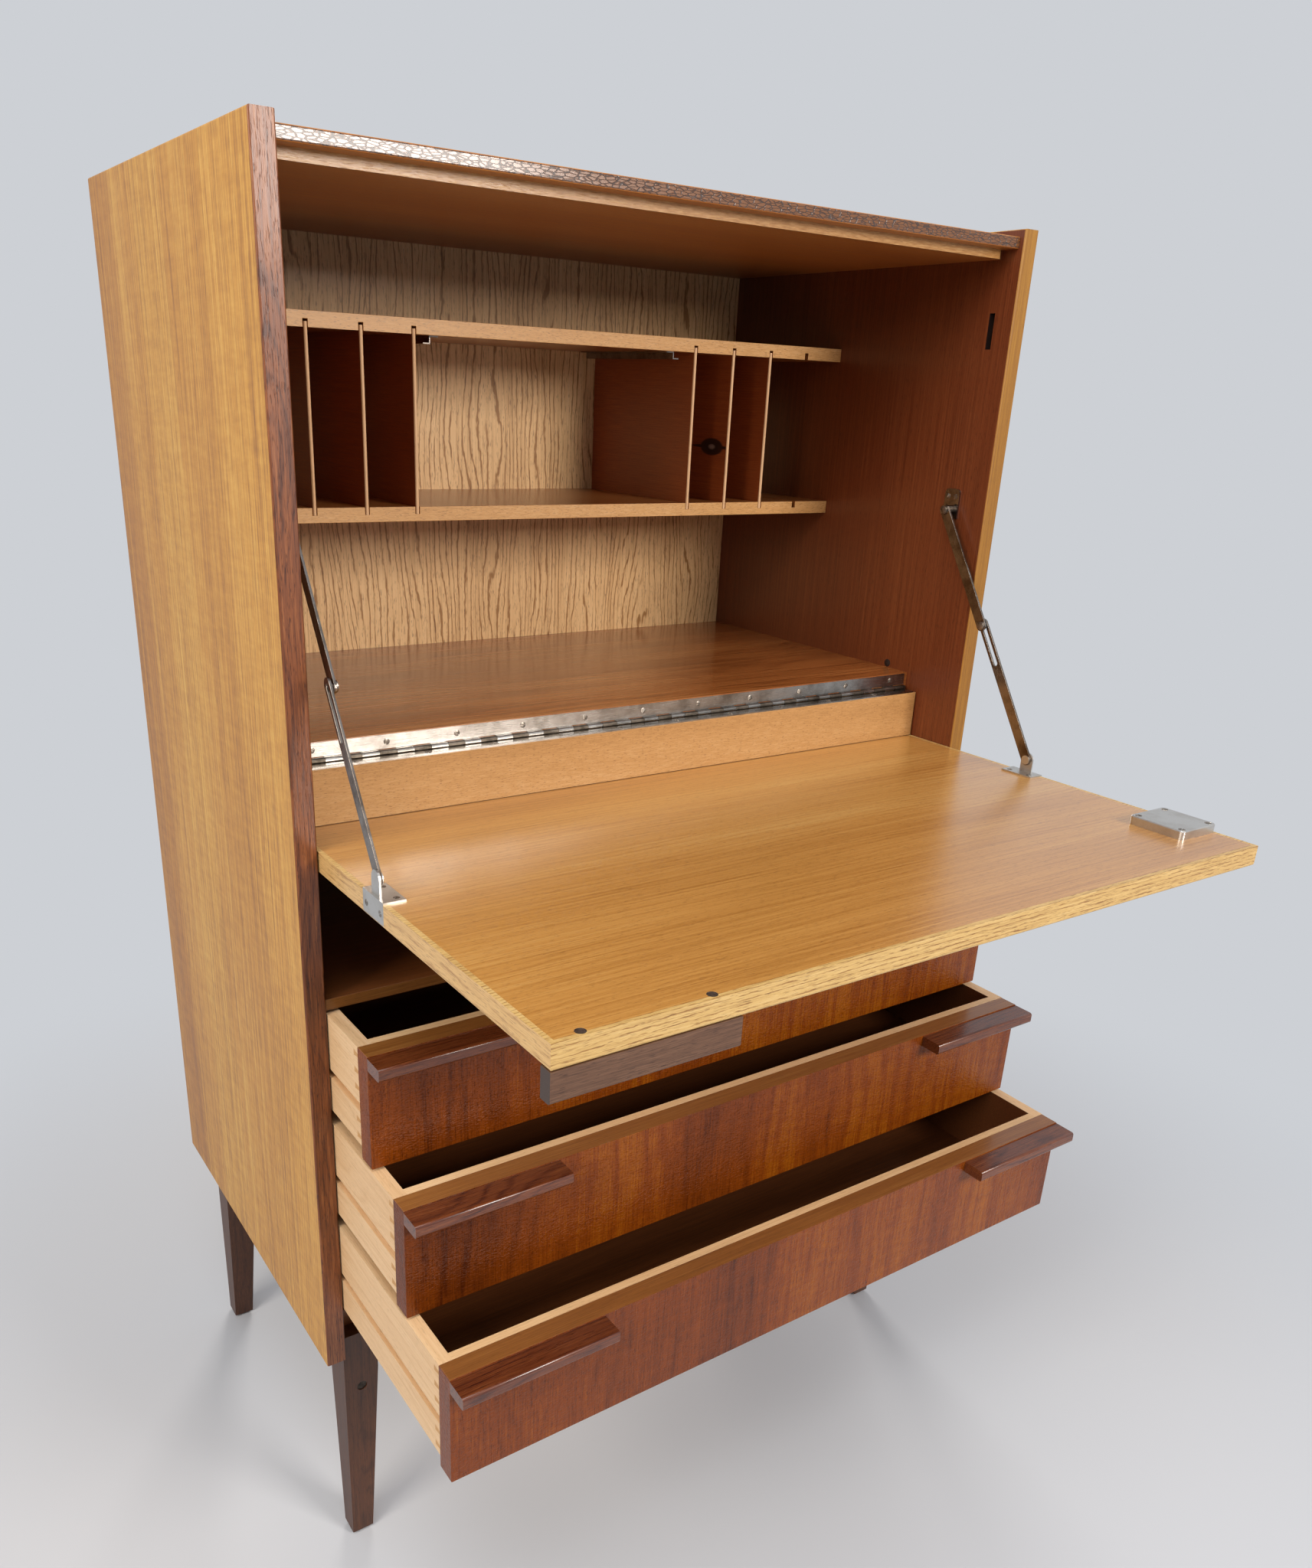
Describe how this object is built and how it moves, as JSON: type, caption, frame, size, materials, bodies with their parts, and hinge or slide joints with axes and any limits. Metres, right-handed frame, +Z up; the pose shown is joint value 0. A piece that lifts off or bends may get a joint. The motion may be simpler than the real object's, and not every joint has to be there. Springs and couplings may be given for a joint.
{
  "type": "escritoire",
  "caption": "Drop-front writing cabinet on tapered legs, with a hinged writing flap on folding stays, pigeonholes behind it and sliding dovetailed drawers below.",
  "frame": {"origin": "on the floor, below the middle of the open piece's bounding box", "axes": "+Z up, +Y to the back, +X to the right as one faces the front"},
  "size_m": [0.75, 0.78, 1.233],
  "materials": {
    "honey_veneer": "satin lacquer",
    "brown_veneer": "gloss lacquer",
    "dark_veneer": "gloss lacquer",
    "ash_veneer": "satin lacquer",
    "beech": "satin lacquer",
    "walnut": "satin lacquer",
    "drawer_veneer": "gloss lacquer",
    "birch": "satin lacquer",
    "nickel": "aged satin",
    "steel": "satin"
  },
  "bodies": {
    "case": {"back_panel": "ash_veneer", "base_rail_left": "walnut", "base_rail_right": "walnut", "bottom_board": "brown_veneer", "desk_shelf": "brown_veneer", "dividers_left": "dark_veneer", "dividers_right": "dark_veneer", "drawer_runners": "beech", "dust_board": "brown_veneer", "flap_stop": "beech", "hinge_leaf_shelf": "nickel", "hinge_pin": "nickel", "leg_back_left": "walnut", "leg_back_right": "walnut", "leg_bolts": "steel", "leg_front_left": "walnut", "leg_front_right": "walnut", "lower_shelf": "beech", "side_panel_left": "honey_veneer", "side_panel_right": "honey_veneer", "stay_bracket_left": "steel", "stay_bracket_right": "steel", "top_board": "dark_veneer", "tray_rails": "steel", "upper_shelf": "beech"},
    "flap": {"flap_board": "brown_veneer", "flap_edging": "beech", "flap_riser": "beech", "flap_handle": "walnut", "flap_handle_screws": "steel", "hinge_leaf_riser": "nickel", "lock_case": "nickel", "stay_foot_left": "steel", "stay_foot_right": "steel"},
    "lock_bolt": {"lock_bolt": "nickel"},
    "stay_upper_left": {"stay_upper_left": "steel"},
    "stay_lower_left": {"stay_lower_left": "steel"},
    "stay_upper_right": {"stay_upper_right": "steel"},
    "stay_lower_right": {"stay_lower_right": "steel"},
    "top_drawer": {"top_drawer_back": "birch", "top_drawer_base": "birch", "top_drawer_front": "drawer_veneer", "top_drawer_handles": "walnut", "top_drawer_inner_front": "birch", "top_drawer_side_left": "birch", "top_drawer_side_right": "birch"},
    "middle_drawer": {"middle_drawer_back": "birch", "middle_drawer_base": "birch", "middle_drawer_front": "drawer_veneer", "middle_drawer_handles": "walnut", "middle_drawer_inner_front": "birch", "middle_drawer_side_left": "birch", "middle_drawer_side_right": "birch"},
    "bottom_drawer": {"bottom_drawer_back": "birch", "bottom_drawer_base": "birch", "bottom_drawer_front": "drawer_veneer", "bottom_drawer_handles": "walnut", "bottom_drawer_inner_front": "birch", "bottom_drawer_side_left": "birch", "bottom_drawer_side_right": "birch"}
  },
  "joints": [
    {"name": "flap_hinge", "type": "hinge", "parent": "case", "child": "flap", "pos_m": [0, 0.0349, 0.7885], "axis": [-1, 0, 0], "range_deg": [0, 90]},
    {"name": "stay_upper_pivot_left", "type": "hinge", "parent": "case", "child": "stay_upper_left", "pos_m": [-0.3474, 0.006, 0.979], "axis": [1, 0, 0], "range_deg": [0, 36]},
    {"name": "stay_lower_pivot_left", "type": "hinge", "parent": "flap", "child": "stay_lower_left", "pos_m": [-0.351, -0.142, 0.751], "axis": [-1, 0, 0], "range_deg": [0, 55]},
    {"name": "stay_upper_pivot_right", "type": "hinge", "parent": "case", "child": "stay_upper_right", "pos_m": [0.3474, 0.006, 0.979], "axis": [1, 0, 0], "range_deg": [0, 36]},
    {"name": "stay_lower_pivot_right", "type": "hinge", "parent": "flap", "child": "stay_lower_right", "pos_m": [0.351, -0.142, 0.751], "axis": [-1, 0, 0], "range_deg": [0, 55]},
    {"name": "lock_bolt_slide", "type": "slide", "parent": "flap", "child": "lock_bolt", "axis": [1, 0, 0], "range_m": [0, 0.009]},
    {"name": "top_drawer_slide", "type": "slide", "parent": "case", "child": "top_drawer", "axis": [0, -1, 0], "range_m": [-0.083, 0.217]},
    {"name": "middle_drawer_slide", "type": "slide", "parent": "case", "child": "middle_drawer", "axis": [0, -1, 0], "range_m": [-0.143, 0.157]},
    {"name": "bottom_drawer_slide", "type": "slide", "parent": "case", "child": "bottom_drawer", "axis": [0, -1, 0], "range_m": [-0.219, 0.081]}
  ],
  "couplings": [
    {"joint": "stay_upper_pivot_left", "follows": "flap_hinge", "ratio": 0.3964},
    {"joint": "stay_lower_pivot_left", "follows": "flap_hinge", "ratio": 0.6086},
    {"joint": "stay_upper_pivot_right", "follows": "flap_hinge", "ratio": 0.3964},
    {"joint": "stay_lower_pivot_right", "follows": "flap_hinge", "ratio": 0.6086}
  ]
}
